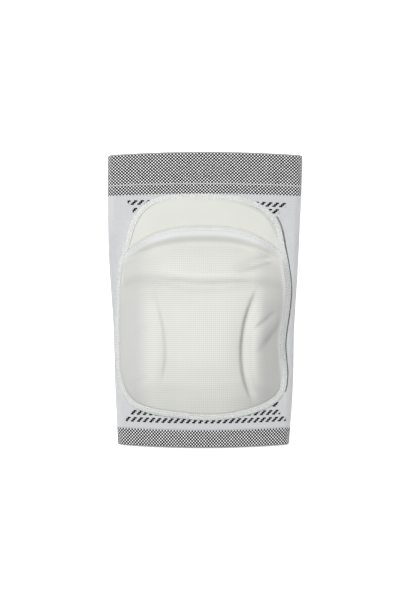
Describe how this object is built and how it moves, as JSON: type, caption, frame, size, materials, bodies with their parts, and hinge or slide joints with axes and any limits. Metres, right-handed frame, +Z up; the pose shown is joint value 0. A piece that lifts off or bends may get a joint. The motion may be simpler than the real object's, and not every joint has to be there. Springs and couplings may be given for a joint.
{
  "type": "volleyball knee pad",
  "caption": "Knitted knee sleeve with check cuffs and a moulded foam pad sewn on its front, lying flat on its back.",
  "frame": {"origin": "middle of the bounding box, on the surface that the back of the sleeve lies on", "axes": "+Y towards the thigh end, +Z up from the surface, out of the front of the pad, +X to the right as seen from above"},
  "size_m": [0.1585, 0.24, 0.0376],
  "materials": {
    "check_knit": "black and white check knit",
    "grey_knit": "fine light grey knit with slanted black dashes",
    "smooth_cloth": "smooth off-white cloth over foam",
    "mesh_cloth": "off-white ribbed mesh cloth over foam",
    "stitched_tape": "white tape with zigzag stitches"
  },
  "bodies": {
    "root": {"thigh_cuff": "check_knit", "sleeve": "grey_knit", "calf_cuff": "check_knit", "upper_pad": "smooth_cloth", "upper_pad_tape": "stitched_tape", "knee_pad": "mesh_cloth", "knee_pad_tape": "stitched_tape", "knee_pad_hem": "stitched_tape"}
  },
  "joints": []
}
